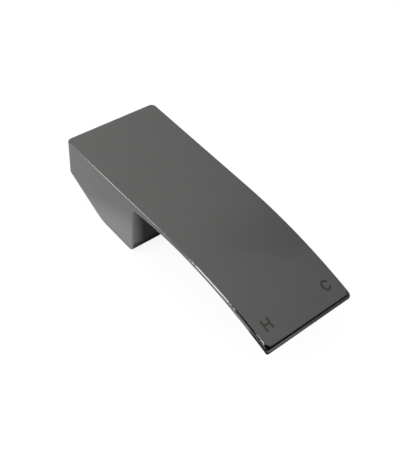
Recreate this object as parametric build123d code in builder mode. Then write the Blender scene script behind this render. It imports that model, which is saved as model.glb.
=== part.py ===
"""Lever handle of a single-lever mixer tap: a polished die casting and the set screw that clamps it.

Millimetres. The origin is the centre of the spindle socket's mouth, +Z is up, and the lever's tip points to -Y.
"""

import os
from math import asin, cos, degrees, radians, sin, sqrt, tan

from build123d import *

# Lever: level over the boss, then bent down along one arc to the tip, with a scooped underside
rear_width = 42.0
tip_width = 39.0
level_length = 60.4
arched_length = 55.4  # end of the level part to the tip, along Y
arc_radius = 207.0
root_thickness = 3.4  # over the boss, and where the blade leaves it
waist_thickness = 1.8  # half-way from the boss to the tip
tip_thickness = 3.0

# Boss under the rear of the lever
boss_length = 43.6
boss_depth = 26.0  # top of the lever to the level front of the rim
boss_wall = 3.0
bend_ahead_of_spindle = 1.25  # where the rim turns from level to slanted
lift_relief_angle = 25.2  # rear of the rim, cut away so that the lever can be lifted

# Square spindle socket, in a pillar inside the boss
spindle_flats = 8.0
spindle_clearance = 0.1  # on each side
pillar_wall = 2.0  # at the corners of the socket
pillar_recess = 6.8  # level front of the rim to the end of the pillar
socket_roof = 6.4  # end of the socket to the top of the lever
socket_lead_in = 0.6

# Set screw, through a bridge between the pillar and the front of the boss
screw_diameter = 5.0
screw_thread_clearance = 0.05
screw_length = 10.0
screw_set_back = 0.5  # point of the screw to the socket
screw_cover = 2.1  # metal between the hole and the end of the pillar
screw_key_flats = 2.5
screw_key_depth = 3.0
screw_cup_diameter = 2.5
screw_cup_depth = 0.8
screw_chamfer = 0.5
screw_hole_chamfer = 0.4
bridge_wall = 2.2  # on each side of the hole

# Rounded corners and edges
edge_radius = 0.6
rear_corner_radius = 2.2
rim_bend_radius = 16.0
rim_front_radius = 2.2
blade_root_radius = 1.2
tip_nose_radius = 0.55 * tip_thickness
tip_lip_radius = 1.3 * edge_radius
tip_corner_radius = 6.0  # seen from above, where the top rolls down at the corners
tip_corner_drop = 0.95  # of the top, at the corner itself
tip_corner_overrun = 1.3  # roll of the corner, as cut, by the part of it that is left
casting_radius = 1.2  # roof of the hollow
hollow_corner_radius = 2.0 * casting_radius
pillar_root_radius = 1.25 * casting_radius
socket_corner_radius = 0.5

# Places and sizes that follow
lever_length = level_length + arched_length
rear_y = boss_length / 2
front_y = -boss_length / 2
bend_y = -bend_ahead_of_spindle
arc_start_y = rear_y - level_length
tip_y = rear_y - lever_length
waist_y = (front_y + tip_y) / 2

top_z = boss_depth - pillar_recess
underside_z = top_z - root_thickness
roof_middle_z = top_z - root_thickness / 2
rim_z = -pillar_recess
rear_rim_z = rim_z + (rear_y - bend_y) * tan(radians(lift_relief_angle))
top_arc_angle = degrees(asin(arched_length / arc_radius))

tip_corner_y = tip_y + tip_corner_radius
tip_corner_slope = asin((arc_start_y - tip_corner_y) / arc_radius)
tip_corner_reach = (sqrt(2) - 1) * tip_corner_radius
tip_roll_radius = (tip_corner_reach**2 + tip_corner_drop**2) / (2 * tip_corner_drop)
tip_roll_angle = tip_corner_overrun * degrees(asin(tip_corner_reach / tip_roll_radius))

socket_width = spindle_flats + 2 * spindle_clearance
socket_depth = top_z - socket_roof
pillar_radius = socket_width / sqrt(2) + pillar_wall
bridge_width = screw_diameter + 2 * bridge_wall
screw_z = screw_cover + screw_diameter / 2
screw_radius = screw_diameter / 2 - screw_thread_clearance
screw_outer_y = -socket_width / 2 - screw_set_back - screw_length

match = 0.01  # how near a corner or face lies to the place where it is looked for


def lever_outline(end_y):
    """Corners of the lever seen from above, from its rear to one place along its length."""
    taper = (rear_width - tip_width) * (rear_y - end_y) / lever_length
    half_rear = rear_width / 2
    half_end = (rear_width - taper) / 2
    return [(-half_rear, rear_y), (half_rear, rear_y), (half_end, end_y), (-half_end, end_y)]


def top_height(y):
    """Height of the lever's top at one place along its length."""
    past_arc_start = max(arc_start_y - y, 0)
    return top_z - arc_radius + sqrt(arc_radius**2 - past_arc_start**2)


def corners_at(side_view, y):
    """Corners of a side view at one place along the lever, lowest first."""
    return side_view.vertices().filter_by_position(Axis.X, y - match, y + match).sort_by(Axis.Y)


# Casting: blade, boss, socket pillar and bridge
with BuildPart() as handle_body:
    with BuildSketch(Plane.YZ) as side_view:
        with BuildLine():
            level_top = Line((rear_y, top_z), (arc_start_y, top_z))
            arched_top = JernArc(level_top @ 1, level_top % 1, arc_radius, top_arc_angle)
            level_under = Line((rear_y, underside_z), (front_y, underside_z))
            scooped_under = ThreePointArc(
                level_under @ 1,
                (waist_y, top_height(waist_y) - waist_thickness),
                (tip_y, top_height(tip_y) - tip_thickness),
            )
            Line(arched_top @ 1, scooped_under @ 1)
            Line(level_top @ 0, level_under @ 0)
        make_face()
        with BuildLine():
            Polyline(
                (rear_y, roof_middle_z),
                (front_y, roof_middle_z),
                (front_y, rim_z),
                (bend_y, rim_z),
                (rear_y, rear_rim_z),
                close=True,
            )
        make_face()
        fillet(corners_at(side_view, tip_y)[-1], tip_nose_radius)
        fillet(corners_at(side_view, tip_y)[0], tip_lip_radius)
        fillet(corners_at(side_view, front_y)[-1], blade_root_radius)
        fillet(corners_at(side_view, front_y)[0], rim_front_radius)
        fillet(corners_at(side_view, bend_y)[0], rim_bend_radius)
    extrude(amount=max(rear_width, tip_width), both=True)

    with BuildSketch() as top_view:
        Polygon(*lever_outline(tip_y), align=None)
        fillet(top_view.vertices().group_by(Axis.Y)[-1], rear_corner_radius)
    extrude(amount=lever_length, both=True, mode=Mode.INTERSECT)
    # The edges of the rear, both sides and the tip run on from each other in one smooth loop
    rear_top_edge = handle_body.faces().sort_by(Axis.Y)[-1].edges().sort_by(Axis.Z)[-1]
    fillet(rear_top_edge, edge_radius)

    # Corners of the tip, where the top rolls down
    corner_plane = Plane(
        (tip_corner_radius - tip_width / 2, tip_corner_y, top_height(tip_corner_y)),
        x_dir=(-1, 0, 0),
        z_dir=(0, cos(tip_corner_slope), sin(tip_corner_slope)),
    )
    with BuildSketch(corner_plane, mode=Mode.PRIVATE) as corner_section:
        with BuildLine():
            roll = CenterArc((tip_corner_radius, -tip_roll_radius), tip_roll_radius, 90, -tip_roll_angle)
            Polyline(
                roll @ 1,
                ((roll @ 1).X, tip_corner_radius),
                (tip_corner_radius, tip_corner_radius),
                roll @ 0,
            )
        make_face()
    left_corner = revolve(
        corner_section.sketch,
        axis=Axis(corner_plane.origin, corner_plane.y_dir),
        revolution_arc=90,
        mode=Mode.PRIVATE,
    )
    add(left_corner, mode=Mode.SUBTRACT)
    add(mirror(left_corner, about=Plane.YZ, mode=Mode.PRIVATE), mode=Mode.SUBTRACT)

    # Hollow of the boss: open below the end of the pillar, and round the pillar and bridge above it
    with BuildSketch(mode=Mode.PRIVATE) as open_hollow:
        Polygon(*lever_outline(front_y), align=None)
        offset(amount=-boss_wall, kind=Kind.INTERSECTION, mode=Mode.REPLACE)
        fillet(open_hollow.vertices(), hollow_corner_radius)
    extrude(open_hollow.sketch, amount=-boss_depth, mode=Mode.SUBTRACT)
    with BuildSketch(mode=Mode.PRIVATE) as upper_hollow:
        add(open_hollow.sketch)
        Circle(pillar_radius, mode=Mode.SUBTRACT)
        Rectangle(bridge_width, boss_length / 2, align=(Align.CENTER, Align.MAX), mode=Mode.SUBTRACT)
        fillet(upper_hollow.vertices().filter_by_position(Axis.X, -bridge_width, bridge_width), pillar_root_radius)
    extrude(upper_hollow.sketch, amount=underside_z, mode=Mode.SUBTRACT)
    level_undersides = handle_body.faces().filter_by_position(Axis.Z, underside_z - match, underside_z + match)
    fillet(level_undersides.sort_by(Axis.Y)[-1].edges(), casting_radius)

    # Socket for the spindle, with a lead-in
    with BuildSketch() as socket_view:
        Rectangle(socket_width, socket_width)
        fillet(socket_view.vertices(), socket_corner_radius)
    extrude(amount=socket_depth, mode=Mode.SUBTRACT)
    pillar_end = handle_body.faces().filter_by_position(Axis.Z, -match, match)[0]
    chamfer(pillar_end.inner_wires()[0].edges(), socket_lead_in)

    # Tapped hole from the front of the boss to the socket
    with Locations(Plane((0, front_y, screw_z), x_dir=(1, 0, 0), z_dir=(0, -1, 0))):
        Hole(screw_diameter / 2, depth=boss_length / 2)
    boss_front = handle_body.faces().filter_by_position(Axis.Y, front_y - match, front_y + match)[0]
    chamfer(boss_front.inner_wires()[0].edges(), screw_hole_chamfer)
handle_body.part.label = "handle_body"

# Set screw with a hexagon socket and a cup point
screw_outer_end = Plane((0, screw_outer_y, screw_z), x_dir=(1, 0, 0), z_dir=(0, -1, 0))
with BuildPart(screw_outer_end) as grub_screw:
    Cylinder(screw_radius, screw_length, align=(Align.CENTER, Align.CENTER, Align.MAX))
    chamfer(grub_screw.edges().filter_by(GeomType.CIRCLE), screw_chamfer)
    with BuildSketch(screw_outer_end):
        RegularPolygon(screw_key_flats / 2, 6, major_radius=False)
    extrude(amount=-screw_key_depth, mode=Mode.SUBTRACT)
    with Locations((0, 0, -screw_length)):
        Cone(
            screw_cup_diameter / 2,
            0,
            screw_cup_depth,
            align=(Align.CENTER, Align.CENTER, Align.MIN),
            mode=Mode.SUBTRACT,
        )
grub_screw.part.label = "grub_screw"

os.makedirs("parts", exist_ok=True)
for piece in (handle_body.part, grub_screw.part):
    export_step(piece, f"parts/{piece.label}.step")
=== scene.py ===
"""Looks of the tap handle: polished gunmetal, hot and cold marks, the screw hole's thread and a white studio.

Metres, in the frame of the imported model: +Z is up, and the lever's tip points to -Y. Soft edges are lists of
pairs: a place is outside up to the first number of a pair and inside from the second, which may be the lower.
"""

from math import cos, pi, radians, sin, tan

import bmesh
import bpy
from mathutils import Matrix, Vector
from mathutils.bvhtree import BVHTree


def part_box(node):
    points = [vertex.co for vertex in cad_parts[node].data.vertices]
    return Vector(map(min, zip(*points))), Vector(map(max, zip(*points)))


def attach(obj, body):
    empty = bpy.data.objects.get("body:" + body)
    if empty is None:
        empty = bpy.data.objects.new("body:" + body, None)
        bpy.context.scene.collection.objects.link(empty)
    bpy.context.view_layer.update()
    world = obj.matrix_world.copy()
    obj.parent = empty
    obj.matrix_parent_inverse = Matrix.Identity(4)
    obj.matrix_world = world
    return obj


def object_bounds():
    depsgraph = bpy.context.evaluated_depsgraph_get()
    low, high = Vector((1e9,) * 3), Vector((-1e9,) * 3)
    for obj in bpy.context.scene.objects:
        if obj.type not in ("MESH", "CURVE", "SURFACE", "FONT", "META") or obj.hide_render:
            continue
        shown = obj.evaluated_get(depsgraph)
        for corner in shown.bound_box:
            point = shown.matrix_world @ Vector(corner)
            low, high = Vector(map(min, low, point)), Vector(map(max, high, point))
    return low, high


MM = 0.001
WHITE = (1.0, 1.0, 1.0, 1.0)

# Photograph
PHOTO_HEIGHT = 457  # pixels, the longer side
SENSOR = 36.0  # millimetres along the longer side

# Camera, from the outline of the object in the photograph
VIEW_AZIMUTH = radians(-43.496)
VIEW_ELEVATION = radians(46.497)
VIEW_ROLL = radians(5.902)
VIEW_DISTANCE = 264.710 * MM
FOCAL_LENGTH = 719.280  # pixels
AIM_BEHIND_TIP = 55.8 * MM
AIM_BELOW_TOP = 8.0 * MM
AIM_SHIFT = (-1.458 * MM, -2.182 * MM)  # along the picture's right and up
NEAREST_SEEN = 1 * MM

# Stretch of any noise over which a colour or roughness changes
NOISE_MIDDLE = (0.3, 0.7)

# Gunmetal, polished outside and left as cast in the hollow of the boss
METAL_DARK = (0.1505, 0.1550, 0.1485)
METAL_PALE = (0.1555, 0.1600, 0.1535)
POLISH_SMOOTH = 0.055
POLISH_HAZY = 0.085
CLOUDS = 60.0  # per metre, in the polish
CLOUDS_DETAIL = 3.0
UNDERSIDE_HAZE = 0.07  # more roughness on faces that look down
UNDERSIDE_EDGE = [(-0.3, -0.8)]  # by the upward part of a face's direction
CAST_COLOUR = (0.115, 0.117, 0.113)
CAST_ROUGHNESS = 0.46
CAST_GRAIN = 2600.0  # per metre
CAST_GRAIN_DETAIL = 3.0
CAST_GRAIN_HEIGHT = 0.03 * MM
HOLLOW_HALF_X = [(19.7 * MM, 18.9 * MM)]  # from polished to cast, across the rim
HOLLOW_HALF_Y = [(20.7 * MM, 19.9 * MM)]
HOLLOW_TOP = [(17.6 * MM, 17.4 * MM)]

# Other metals: grain per metre, and the two ends of the colour and of the roughness
GRAIN_DETAIL = 2.0
STEEL_GRAIN = 900.0
STEEL_COLOURS = [(0.42, 0.41, 0.40), (0.50, 0.49, 0.48)]
STEEL_ROUGHNESS = (0.28, 0.40)
ETCHED_GRAIN = 4000.0
ETCHED_COLOURS = [(0.060, 0.063, 0.056), (0.072, 0.075, 0.068)]
ETCHED_ROUGHNESS = (0.48, 0.52)
TAPPED_GRAIN = 1500.0
TAPPED_COLOURS = [(0.24, 0.24, 0.235), (0.30, 0.30, 0.295)]
TAPPED_ROUGHNESS = (0.25, 0.35)

# Hot and cold marks
MARK_BEHIND_TIP = 7.2 * MM
MARK_HOT_X = -13.8 * MM
MARK_COLD_X = 13.8 * MM
MARK_STROKE = 0.78 * MM
HOT_HEIGHT = 4.1 * MM
HOT_WIDTH = 3.35 * MM
COLD_HEIGHT = 4.2 * MM
COLD_WIDTH = 3.7 * MM
COLD_OPENING = radians(29)  # on each side of the letter's middle
COLD_STEPS = 40
MARK_PROUD = 0.012 * MM
MARK_DEPTH = 0.05 * MM
MARK_LAID_FROM = 10 * MM  # above the lever
MARK_JOINED_WITHIN = 0.001 * MM

# Thread of the set screw's hole, from its mouth to the screw
THREAD_MOUTH_Y = -21.1 * MM
THREAD_PITCH = 0.8 * MM
THREAD_ROOT_RADIUS = 2.505 * MM
THREAD_CREST_RADIUS = 2.11 * MM
THREAD_ROOT_WIDTH = 0.70 * MM
THREAD_CREST_WIDTH = 0.12 * MM
THREAD_STEPS = 48  # per turn

# Floor, and the shades that polished metal sees on it, placed from the origin
FLOOR_SIZE = 6.0
FLOOR_DROP = 0.02 * MM  # below the rim of the boss
FLOOR_COLOUR = 0.22
FLOOR_GLOW = 0.88
MIRRORED_GLOW = 0.98
BLADE_SHADE = 0.91
BLADE_SHADE_AXIS = (0.846, 0.534)  # across the shade's left edge
BLADE_SHADE_LEFT = [(-28.2 * MM, -23.2 * MM)]
BLADE_SHADE_X = [(36 * MM, 28 * MM)]
BLADE_SHADE_Y = [(-92 * MM, -78 * MM), (-15 * MM, -21 * MM)]
HALF_SHADE = 0.40
HALF_SHADE_X = [(-20.5 * MM, -16.5 * MM)]
SIDE_SHADE = 0.31
SIDE_SHADE_AXIS = (0.952, -0.306)
SIDE_SHADE_EDGE = [(-21 * MM, -31 * MM)]
FOOT_SHADE = 0.80
FOOT_SHADE_X = [(-22 * MM, -19 * MM)]
FOOT_SHADE_Y = [(-25.8 * MM, -23.6 * MM)]
CORNER_SHADE = 1.0
CORNER_SHADE_X = [(6 * MM, -6 * MM), (-50 * MM, -40 * MM)]
CORNER_SHADE_Y = [(-75 * MM, -79 * MM), (-111 * MM, -106 * MM)]
TIP_SHADE = 0.90
TIP_SHADE_X = [(-50 * MM, -40 * MM)]
TIP_SHADE_Y = [(-74.5 * MM, -79 * MM), (-420 * MM, -380 * MM)]
TIP_GAP = 0.8  # lighter place in the tip's shade
TIP_GAP_X = [(-14 * MM, -10 * MM), (24 * MM, 12 * MM)]
TIP_GAP_Y = [(-175 * MM, -160 * MM), (-109 * MM, -113 * MM)]

# Tent, by direction from the handle: pale cloth with a beam, three lit places and dark curtains
TENT_RADIUS = 2.0
TENT_SEGMENTS = 64
TENT_RINGS = 32
CURTAIN_LEVEL = 0.02  # also added to the cloth
ROOF_LEVEL = 1.005
ROOF_FALL_X = -0.764
ROOF_FALL_END = 0.3  # to the left of it, the brightness no longer changes with X
ROOF_FALL_Y = 0.155
BEAM_LEVEL = -0.085
BEAM_X = [(0.44, 0.52)]
BEAM_Y = [(0.05, 0.14), (0.5, 0.2)]
BEAM_Z = [(0.84, 0.82)]
LEFT_CURTAIN_X = [(0.37, 0.27)]
LEFT_CURTAIN_Y = [(0.075, 0.035)]
FRONT_CURTAIN_X = [(0.66, 0.60)]
FRONT_CURTAIN_Y = [(-0.56, -0.68)]
CORNER_CURTAIN_X = [(0.465, 0.44)]
CORNER_CURTAIN_Y = [(-0.17, -0.21)]
CORNER_CURTAIN_AXIS = (-0.7071, -0.7071)
CORNER_CURTAIN_EDGE = [(-0.19, -0.13)]
HEM_X = [(0.32, 0.25)]  # the cloth shows below the hem of the curtains
HEM_Y = [(-0.15, -0.25)]
HEM_Z = [(0.58, 0.46)]
OPENING_X = [(-0.30, -0.40)]  # and in an opening between them
OPENING_Y = [(-0.36, -0.44)]
SKYLIGHT_LEVEL = 2.2
SKYLIGHT_X = [(-0.70, -0.60), (0.0, -0.10)]
SKYLIGHT_Y = [(0.035, 0.065), (0.315, 0.285)]
HATCH_LEVEL = 12.0
HATCH_X = [(0.00, 0.05), (0.40, 0.34)]
HATCH_Y = [(-0.34, -0.26), (-0.11, -0.14)]
SLIT_LEVEL = 6.0
SLIT_X = [(-0.85, -0.75), (-0.25, -0.33)]
SLIT_Y = [(-0.36, -0.30), (-0.12, -0.16)]

# Light on matt surfaces from all round
AMBIENT = 0.6

# Lamps: azimuth from the lever's left towards its rear, elevation, width and height, all in degrees, and glow
LAMP_DISTANCE = 1.0
WINDOW_PANES = [
    (14.0, 30, 14.3, 44, 5.0),
    (37.6, 24, 6.8, 32, 5.0),
    (43.0, 22, 0.9, 24, 5.0),
]

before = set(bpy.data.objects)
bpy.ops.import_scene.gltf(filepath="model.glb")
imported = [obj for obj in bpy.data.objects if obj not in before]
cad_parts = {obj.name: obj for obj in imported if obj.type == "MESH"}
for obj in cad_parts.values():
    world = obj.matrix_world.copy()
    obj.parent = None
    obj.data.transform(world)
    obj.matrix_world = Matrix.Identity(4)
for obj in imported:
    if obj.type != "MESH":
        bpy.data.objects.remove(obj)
cad_low, cad_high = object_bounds()
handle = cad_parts["handle_body"]
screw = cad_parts["grub_screw"]


# Node helpers

def node(tree, kind, **settings):
    """Adds a node and sets its properties."""
    made = tree.nodes.new(kind)
    for name, value in settings.items():
        setattr(made, name, value)
    return made


def material(name):
    """New material with an empty node tree and its output."""
    made = bpy.data.materials.new(name)
    made.use_nodes = True
    made.node_tree.nodes.clear()
    output = made.node_tree.nodes.new("ShaderNodeOutputMaterial")
    return made, made.node_tree, output


def calculate(tree, operation, first, second=None):
    """Math node on one or two sockets or numbers."""
    made = node(tree, "ShaderNodeMath", operation=operation)
    for socket, value in zip(made.inputs, (first, second)):
        if value is None:
            continue
        if isinstance(value, (int, float)):
            socket.default_value = value
        else:
            tree.links.new(value, socket)
    return made.outputs[0]


def combine(tree, operation, values):
    """One math operation along a row of sockets and numbers."""
    total = values[0]
    for value in values[1:]:
        total = calculate(tree, operation, total, value)
    return total


def product(tree, values):
    """Product of sockets and numbers."""
    return combine(tree, "MULTIPLY", values)


def noise(tree, place, scale, detail):
    """Noise texture on a vector socket."""
    made = node(tree, "ShaderNodeTexNoise")
    made.inputs["Scale"].default_value = scale
    made.inputs["Detail"].default_value = detail
    tree.links.new(place, made.inputs["Vector"])
    return made.outputs["Fac"]


def ramp(tree, factor, first, last):
    """Grey or colour that runs from first to last over the middle of a noise."""
    made = node(tree, "ShaderNodeValToRGB")
    for element, place, colour in zip(made.color_ramp.elements, NOISE_MIDDLE, (first, last)):
        element.position = place
        grey = isinstance(colour, (int, float))
        element.color = (colour, colour, colour, 1.0) if grey else (*colour, 1.0)
    tree.links.new(factor, made.inputs["Fac"])
    return made.outputs["Color"]


def mix(tree, factor, first, second):
    """Colour that turns from one socket's to the other's, or to a fixed colour."""
    made = node(tree, "ShaderNodeMix", data_type="RGBA")
    for name, value in zip(("A", "B"), (first, second)):
        socket = [s for s in made.inputs if s.name == name and s.type == "RGBA"][0]
        if isinstance(value, tuple):
            socket.default_value = (*value, 1.0)
        else:
            tree.links.new(value, socket)
    tree.links.new(factor, made.inputs["Factor"])
    return [s for s in made.outputs if s.type == "RGBA"][0]


def split(tree, vector):
    """The three parts of a vector socket."""
    made = node(tree, "ShaderNodeSeparateXYZ")
    tree.links.new(vector, made.inputs["Vector"])
    return made.outputs


def across(tree, x, y, axis):
    """Distance along a level axis, given as the two parts of its direction."""
    return calculate(tree, "ADD", product(tree, [x, axis[0]]), product(tree, [y, axis[1]]))


def step(tree, value, start, end):
    """0 before start, 1 after end, and smooth between; end may be the lower one."""
    eased = node(tree, "ShaderNodeMapRange", interpolation_type="SMOOTHSTEP")
    eased.inputs["From Min"].default_value = start
    eased.inputs["From Max"].default_value = end
    tree.links.new(value, eased.inputs["Value"])
    return eased.outputs["Result"]


def inside(tree, limits):
    """1 within all the soft edges of some sockets, and 0 outside any of them."""
    return product(tree, [step(tree, value, *edge) for value, edges in limits for edge in edges])


def shade(tree, depth, covered):
    """1 where nothing is covered, and less by the depth where all is."""
    return calculate(tree, "SUBTRACT", 1.0, calculate(tree, "MULTIPLY", covered, depth))


def outside(tree, covered):
    """1 where nothing is covered, and 0 where all is."""
    return shade(tree, 1.0, covered)


# Materials

def gunmetal():
    """Mirror polish with a little haze, and bare casting in the hollow of the boss."""
    made, tree, output = material("gunmetal")
    metal = node(tree, "ShaderNodeBsdfPrincipled")
    metal.inputs["Metallic"].default_value = 1.0
    place = node(tree, "ShaderNodeTexCoord").outputs["Object"]
    clouds = noise(tree, place, CLOUDS, CLOUDS_DETAIL)
    x, y, z = split(tree, place)
    half_x = calculate(tree, "ABSOLUTE", x)
    half_y = calculate(tree, "ABSOLUTE", y)
    cast = inside(tree, [(half_x, HOLLOW_HALF_X), (half_y, HOLLOW_HALF_Y), (z, HOLLOW_TOP)])

    polish = ramp(tree, clouds, METAL_DARK, METAL_PALE)
    tree.links.new(mix(tree, cast, polish, CAST_COLOUR), metal.inputs["Base Color"])

    normal = node(tree, "ShaderNodeNewGeometry").outputs["Normal"]
    looks_down = inside(tree, [(split(tree, normal)[2], UNDERSIDE_EDGE)])
    haze = calculate(tree, "MULTIPLY", looks_down, UNDERSIDE_HAZE)
    outer = calculate(tree, "ADD", ramp(tree, clouds, POLISH_SMOOTH, POLISH_HAZY), haze)
    inner = calculate(tree, "MULTIPLY", cast, CAST_ROUGHNESS)
    tree.links.new(calculate(tree, "MAXIMUM", outer, inner), metal.inputs["Roughness"])

    grain = node(tree, "ShaderNodeBump")
    grain.inputs["Distance"].default_value = CAST_GRAIN_HEIGHT
    tree.links.new(cast, grain.inputs["Strength"])
    tree.links.new(noise(tree, place, CAST_GRAIN, CAST_GRAIN_DETAIL), grain.inputs["Height"])
    tree.links.new(grain.outputs["Normal"], metal.inputs["Normal"])
    tree.links.new(metal.outputs["BSDF"], output.inputs["Surface"])
    return made


def grained_metal(name, grain_scale, colours, roughness):
    """Dull metal whose colour and roughness vary with a fine grain."""
    made, tree, output = material(name)
    metal = node(tree, "ShaderNodeBsdfPrincipled")
    metal.inputs["Metallic"].default_value = 1.0
    place = node(tree, "ShaderNodeTexCoord").outputs["Object"]
    grain = noise(tree, place, grain_scale, GRAIN_DETAIL)
    tree.links.new(ramp(tree, grain, *colours), metal.inputs["Base Color"])
    tree.links.new(ramp(tree, grain, *roughness), metal.inputs["Roughness"])
    tree.links.new(metal.outputs["BSDF"], output.inputs["Surface"])
    return made


def floor_shades(tree, x, y):
    """What is left of the floor's glow in mirrors, as a row of factors."""
    covers = [
        (BLADE_SHADE, [
            (across(tree, x, y, BLADE_SHADE_AXIS), BLADE_SHADE_LEFT),
            (x, BLADE_SHADE_X),
            (y, BLADE_SHADE_Y),
        ]),
        (HALF_SHADE, [(x, HALF_SHADE_X), (y, BLADE_SHADE_Y)]),
        (SIDE_SHADE, [(across(tree, x, y, SIDE_SHADE_AXIS), SIDE_SHADE_EDGE)]),
        (FOOT_SHADE, [(x, FOOT_SHADE_X), (y, FOOT_SHADE_Y)]),
        (CORNER_SHADE, [(x, CORNER_SHADE_X), (y, CORNER_SHADE_Y)]),
    ]
    shades = [shade(tree, depth, inside(tree, limits)) for depth, limits in covers]
    before_tip = inside(tree, [(x, TIP_SHADE_X), (y, TIP_SHADE_Y)])
    gap = inside(tree, [(x, TIP_GAP_X), (y, TIP_GAP_Y)])
    shades.append(shade(tree, TIP_SHADE, product(tree, [before_tip, shade(tree, TIP_GAP, gap)])))
    return shades


def white_floor():
    """Matt white that also glows, as a light table does.

    Polished metal sees shades on it, and from below it is clear.
    """
    made, tree, output = material("white_floor")
    matt = node(tree, "ShaderNodeBsdfDiffuse")
    matt.inputs["Color"].default_value = (FLOOR_COLOUR, FLOOR_COLOUR, FLOOR_COLOUR, 1.0)
    spot = node(tree, "ShaderNodeNewGeometry")
    x, y, _ = split(tree, spot.outputs["Position"])

    path = node(tree, "ShaderNodeLightPath")
    mirrored = calculate(tree, "ADD", path.outputs["Is Glossy Ray"], path.outputs["Is Transmission Ray"])
    in_mirrors = product(tree, [mirrored, MIRRORED_GLOW, *floor_shades(tree, x, y)])
    in_view = product(tree, [path.outputs["Is Camera Ray"], FLOOR_GLOW])
    glow = node(tree, "ShaderNodeEmission")
    tree.links.new(calculate(tree, "ADD", in_view, in_mirrors), glow.inputs["Strength"])
    both = node(tree, "ShaderNodeAddShader")
    tree.links.new(matt.outputs["BSDF"], both.inputs[0])
    tree.links.new(glow.outputs["Emission"], both.inputs[1])

    clear = node(tree, "ShaderNodeBsdfTransparent")
    one_sided = node(tree, "ShaderNodeMixShader")
    tree.links.new(spot.outputs["Backfacing"], one_sided.inputs["Fac"])
    tree.links.new(both.outputs["Shader"], one_sided.inputs[1])
    tree.links.new(clear.outputs["BSDF"], one_sided.inputs[2])
    tree.links.new(one_sided.outputs["Shader"], output.inputs["Surface"])
    return made


def tent_cloth():
    """Pale cloth with a beam, a skylight, a hatch and a slit, and curtains at the front, left and corner."""
    made, tree, output = material("tent_cloth")
    toward = node(tree, "ShaderNodeVectorMath", operation="NORMALIZE")
    tree.links.new(node(tree, "ShaderNodeTexCoord").outputs["Object"], toward.inputs[0])
    x, y, z = split(tree, toward.outputs["Vector"])

    fall_x = product(tree, [calculate(tree, "MAXIMUM", x, ROOF_FALL_END), ROOF_FALL_X])
    fall_y = product(tree, [y, ROOF_FALL_Y])
    beam = product(tree, [inside(tree, [(x, BEAM_X), (y, BEAM_Y), (z, BEAM_Z)]), BEAM_LEVEL])
    roof = combine(tree, "ADD", [fall_x, fall_y, ROOF_LEVEL, beam])

    left_curtain = inside(tree, [(x, LEFT_CURTAIN_X), (y, LEFT_CURTAIN_Y)])
    front_curtain = inside(tree, [(x, FRONT_CURTAIN_X), (y, FRONT_CURTAIN_Y)])
    toward_corner = across(tree, x, y, CORNER_CURTAIN_AXIS)
    corner_curtain = inside(tree, [
        (x, CORNER_CURTAIN_X),
        (y, CORNER_CURTAIN_Y),
        (toward_corner, CORNER_CURTAIN_EDGE),
    ])
    curtains = combine(tree, "MAXIMUM", [left_curtain, front_curtain, corner_curtain])
    below_hem = inside(tree, [(x, HEM_X), (y, HEM_Y), (z, HEM_Z)])
    opening = inside(tree, [(x, OPENING_X), (y, OPENING_Y)])
    covered = product(tree, [curtains, outside(tree, below_hem), outside(tree, opening)])
    cloth = product(tree, [roof, outside(tree, covered)])

    skylight = product(tree, [inside(tree, [(x, SKYLIGHT_X), (y, SKYLIGHT_Y)]), SKYLIGHT_LEVEL])
    hatch = product(tree, [inside(tree, [(x, HATCH_X), (y, HATCH_Y)]), HATCH_LEVEL])
    open_hatch = product(tree, [hatch, outside(tree, corner_curtain)])
    slit = product(tree, [inside(tree, [(x, SLIT_X), (y, SLIT_Y)]), SLIT_LEVEL])

    glow = node(tree, "ShaderNodeEmission")
    level = combine(tree, "ADD", [cloth, CURTAIN_LEVEL, skylight, open_hatch, slit])
    tree.links.new(level, glow.inputs["Strength"])
    tree.links.new(glow.outputs["Emission"], output.inputs["Surface"])
    return made


# Pieces

def dress(piece, look):
    """Gives a piece one material in place of its own."""
    piece.data.materials.clear()
    piece.data.materials.append(look)


def add_piece(name, mesh, look):
    """New piece of the handle from a bmesh, parented to the empty of the root body."""
    bmesh.ops.recalc_face_normals(mesh, faces=mesh.faces)
    data = bpy.data.meshes.new(name)
    mesh.to_mesh(data)
    mesh.free()
    piece = bpy.data.objects.new(name, data)
    bpy.context.scene.collection.objects.link(piece)
    dress(piece, look)
    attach(piece, "root")


def handle_surface():
    """Surface of the casting, for laying marks on it."""
    mesh = handle.data
    return BVHTree.FromPolygons([v.co for v in mesh.vertices], [p.vertices for p in mesh.polygons])


def mark(name, outline_faces, surface, look):
    """Thin solid on the lever's top, from faces given as lists of (x, y), anticlockwise from above."""
    mesh = bmesh.new()
    above = cad_high.z + MARK_LAID_FROM
    tops, bottoms, edges = {}, {}, []
    for face in outline_faces:
        corners = [(round(x / MARK_JOINED_WITHIN), round(y / MARK_JOINED_WITHIN)) for x, y in face]
        for corner, (x, y) in zip(corners, face):
            if corner in tops:
                continue
            spot, normal, _, _ = surface.ray_cast(Vector((x, y, above)), Vector((0, 0, -1)))
            top = spot + normal * MARK_PROUD
            tops[corner] = mesh.verts.new(top)
            bottoms[corner] = mesh.verts.new(top - Vector((0, 0, MARK_DEPTH)))
        mesh.faces.new([tops[corner] for corner in corners])
        mesh.faces.new([bottoms[corner] for corner in corners]).normal_flip()
        edges += zip(corners, corners[1:] + corners[:1])
    # An edge between two faces runs both ways, and the others get a side
    for start, end in edges:
        if (end, start) not in edges:
            mesh.faces.new([tops[start], bottoms[start], bottoms[end], tops[end]])
    add_piece(name, mesh, look)


def rectangle(x0, x1, y0, y1):
    """Corners of a rectangle with sides along X and Y."""
    return [(x0, y0), (x1, y0), (x1, y1), (x0, y1)]


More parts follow.
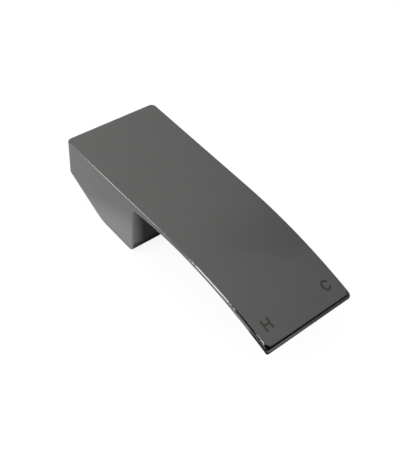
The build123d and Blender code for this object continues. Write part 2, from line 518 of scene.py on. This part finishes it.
def hot_faces(x, y):
    """Letter H: two legs, each in three stretches, and the bar between their middles."""
    half_w, half_h, half_s = HOT_WIDTH / 2, HOT_HEIGHT / 2, MARK_STROKE / 2
    faces = []
    for x0, x1 in ((-half_w, -half_w + MARK_STROKE), (half_w - MARK_STROKE, half_w)):
        for y0, y1 in ((-half_h, -half_s), (-half_s, half_s), (half_s, half_h)):
            faces.append(rectangle(x + x0, x + x1, y + y0, y + y1))
    faces.append(rectangle(x - half_w + MARK_STROKE, x + half_w - MARK_STROKE, y - half_s, y + half_s))
    return faces


def cold_faces(x, y):
    """Letter C: a ring of short faces that is open towards +X."""
    turn = 2 * pi - 2 * COLD_OPENING
    rings = []
    for inset in (0.0, MARK_STROKE):
        half_w, half_h = COLD_WIDTH / 2 - inset, COLD_HEIGHT / 2 - inset
        ring = []
        for number in range(COLD_STEPS + 1):
            angle = COLD_OPENING + turn * number / COLD_STEPS
            ring.append((x + half_w * cos(angle), y + half_h * sin(angle)))
        rings.append(ring)
    outer, inner = rings
    return [[outer[i], outer[i + 1], inner[i + 1], inner[i]] for i in range(COLD_STEPS)]


def hole_thread(look):
    """Ridge of the tapped hole's thread, wound from the mouth of the hole to the set screw."""
    screw_low, screw_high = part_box("grub_screw")
    axis_z = (screw_low.z + screw_high.z) / 2
    turns = (screw_low.y - THREAD_MOUTH_Y) / THREAD_PITCH
    section = [
        (THREAD_ROOT_RADIUS, -THREAD_ROOT_WIDTH / 2),
        (THREAD_CREST_RADIUS, -THREAD_CREST_WIDTH / 2),
        (THREAD_CREST_RADIUS, THREAD_CREST_WIDTH / 2),
        (THREAD_ROOT_RADIUS, THREAD_ROOT_WIDTH / 2),
    ]
    mesh = bmesh.new()
    rings = []
    for number in range(int(turns * THREAD_STEPS) + 1):
        angle = 2 * pi * number / THREAD_STEPS
        y = THREAD_MOUTH_Y + THREAD_PITCH * number / THREAD_STEPS
        ring = [(radius * cos(angle), y + along, axis_z + radius * sin(angle)) for radius, along in section]
        rings.append([mesh.verts.new(corner) for corner in ring])
    for ring, following in zip(rings, rings[1:]):
        for i in range(len(section)):
            j = (i + 1) % len(section)
            mesh.faces.new([ring[i], ring[j], following[j], following[i]])
    mesh.faces.new(rings[0])
    mesh.faces.new(rings[-1])
    add_piece("hole_thread", mesh, look)


# Studio

def make_floor():
    """Wide floor just under the boss."""
    bpy.ops.mesh.primitive_plane_add(size=FLOOR_SIZE, location=(0, 0, cad_low.z - FLOOR_DROP))
    floor = bpy.context.object
    floor.name = "studio_floor"
    dress(floor, white_floor())


def make_tent():
    """Sphere round the handle that shows only in reflections."""
    bpy.ops.mesh.primitive_uv_sphere_add(radius=TENT_RADIUS, segments=TENT_SEGMENTS, ring_count=TENT_RINGS)
    tent = bpy.context.object
    tent.name = "studio_tent"
    dress(tent, tent_cloth())
    tent.visible_camera = False
    tent.visible_diffuse = False
    tent.visible_shadow = False


def make_window():
    """Rectangular lamps that face the handle, each as wide and high as it looks from there."""
    for number, (azimuth, elevation, wide, high, glow) in enumerate(WINDOW_PANES):
        turn, rise = radians(azimuth), radians(elevation)
        toward = Vector((-cos(turn) * cos(rise), sin(turn) * cos(rise), sin(rise)))
        lamp = bpy.data.lights.new(f"window_{number}", "AREA")
        lamp.shape = "RECTANGLE"
        lamp.size = 2 * LAMP_DISTANCE * tan(radians(wide) / 2) * cos(rise)
        lamp.size_y = 2 * LAMP_DISTANCE * tan(radians(high) / 2)
        lamp.energy = glow * pi * lamp.size * lamp.size_y
        made = bpy.data.objects.new(lamp.name, lamp)
        made.location = toward * LAMP_DISTANCE
        made.rotation_euler = toward.to_track_quat("Z", "Y").to_euler()
        bpy.context.scene.collection.objects.link(made)


def make_world():
    """White to the camera and in mirrors and glass, and dimmer as a light."""
    world = bpy.data.worlds.new("studio")
    world.use_nodes = True
    tree = world.node_tree
    tree.nodes.clear()
    output = node(tree, "ShaderNodeOutputWorld")
    ambient = node(tree, "ShaderNodeBackground")
    ambient.inputs["Strength"].default_value = AMBIENT
    white = node(tree, "ShaderNodeBackground")
    for background in (ambient, white):
        background.inputs["Color"].default_value = WHITE
    path = node(tree, "ShaderNodeLightPath")
    ray_kinds = ("Is Camera Ray", "Is Glossy Ray", "Is Transmission Ray")
    seen = combine(tree, "ADD", [path.outputs[kind] for kind in ray_kinds])
    both = node(tree, "ShaderNodeMixShader")
    tree.links.new(seen, both.inputs["Fac"])
    tree.links.new(ambient.outputs["Background"], both.inputs[1])
    tree.links.new(white.outputs["Background"], both.inputs[2])
    tree.links.new(both.outputs["Shader"], output.inputs["Surface"])
    bpy.context.scene.world = world


def make_camera():
    """Camera where the photograph was taken from."""
    back = Vector((
        sin(VIEW_AZIMUTH) * cos(VIEW_ELEVATION),
        -cos(VIEW_AZIMUTH) * cos(VIEW_ELEVATION),
        sin(VIEW_ELEVATION),
    ))
    level_right = Vector((cos(VIEW_AZIMUTH), sin(VIEW_AZIMUTH), 0))
    level_up = back.cross(level_right)
    right = level_right * cos(VIEW_ROLL) + level_up * sin(VIEW_ROLL)
    up = level_up * cos(VIEW_ROLL) - level_right * sin(VIEW_ROLL)
    aim = Vector((0, cad_low.y + AIM_BEHIND_TIP, cad_high.z - AIM_BELOW_TOP))
    eye = aim + right * AIM_SHIFT[0] + up * AIM_SHIFT[1] + back * VIEW_DISTANCE
    data = bpy.data.cameras.new("camera")
    data.sensor_fit = "VERTICAL"
    data.sensor_height = SENSOR
    data.lens = FOCAL_LENGTH * SENSOR / PHOTO_HEIGHT
    data.clip_start = NEAREST_SEEN
    camera = bpy.data.objects.new("camera", data)
    turn = Matrix((right, up, back)).transposed().to_4x4()
    camera.matrix_world = Matrix.Translation(eye) @ turn
    bpy.context.scene.collection.objects.link(camera)
    bpy.context.scene.camera = camera


steel = grained_metal("screw_steel", STEEL_GRAIN, STEEL_COLOURS, STEEL_ROUGHNESS)
etched = grained_metal("etched_mark", ETCHED_GRAIN, ETCHED_COLOURS, ETCHED_ROUGHNESS)
tapped = grained_metal("tapped_metal", TAPPED_GRAIN, TAPPED_COLOURS, TAPPED_ROUGHNESS)
dress(handle, gunmetal())
dress(screw, steel)

surface = handle_surface()
mark_y = cad_low.y + MARK_BEHIND_TIP
mark("mark_hot", hot_faces(MARK_HOT_X, mark_y), surface, etched)
mark("mark_cold", cold_faces(MARK_COLD_X, mark_y), surface, etched)
hole_thread(tapped)

make_floor()
make_tent()
make_world()
make_window()
make_camera()

bpy.context.scene.view_settings.view_transform = "Standard"
